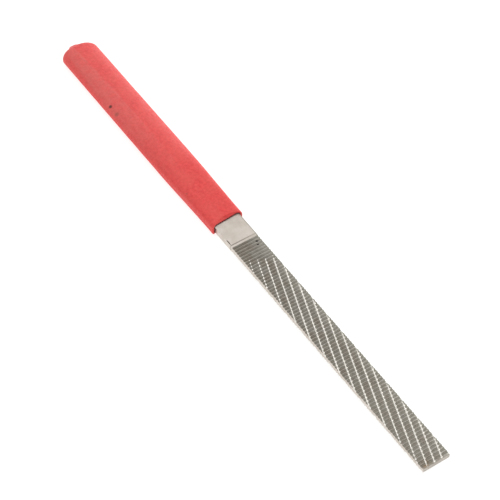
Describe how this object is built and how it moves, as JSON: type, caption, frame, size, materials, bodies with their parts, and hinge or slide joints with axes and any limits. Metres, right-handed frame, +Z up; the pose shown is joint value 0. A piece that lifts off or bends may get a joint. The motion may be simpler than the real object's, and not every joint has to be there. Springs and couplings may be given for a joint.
{
  "type": "flat hand file",
  "caption": "Flat steel hand file with straight cross-cut teeth and diagonal chip-breaker grooves, and a flat-oval vinyl grip sleeve over its tang.",
  "frame": {"origin": "under the middle of the file's length, level with the flat underside of the grip", "axes": "+X along the file from the grip to the tip, +Z up through one toothed face, +Y across its width"},
  "size_m": [0.2716, 0.0174, 0.0069],
  "materials": {
    "blade_steel": "bare, machined",
    "grip_vinyl": "soft satin vinyl"
  },
  "bodies": {
    "root": {"toothed_blade": "blade_steel", "grip_sleeve": "grip_vinyl"}
  },
  "joints": []
}
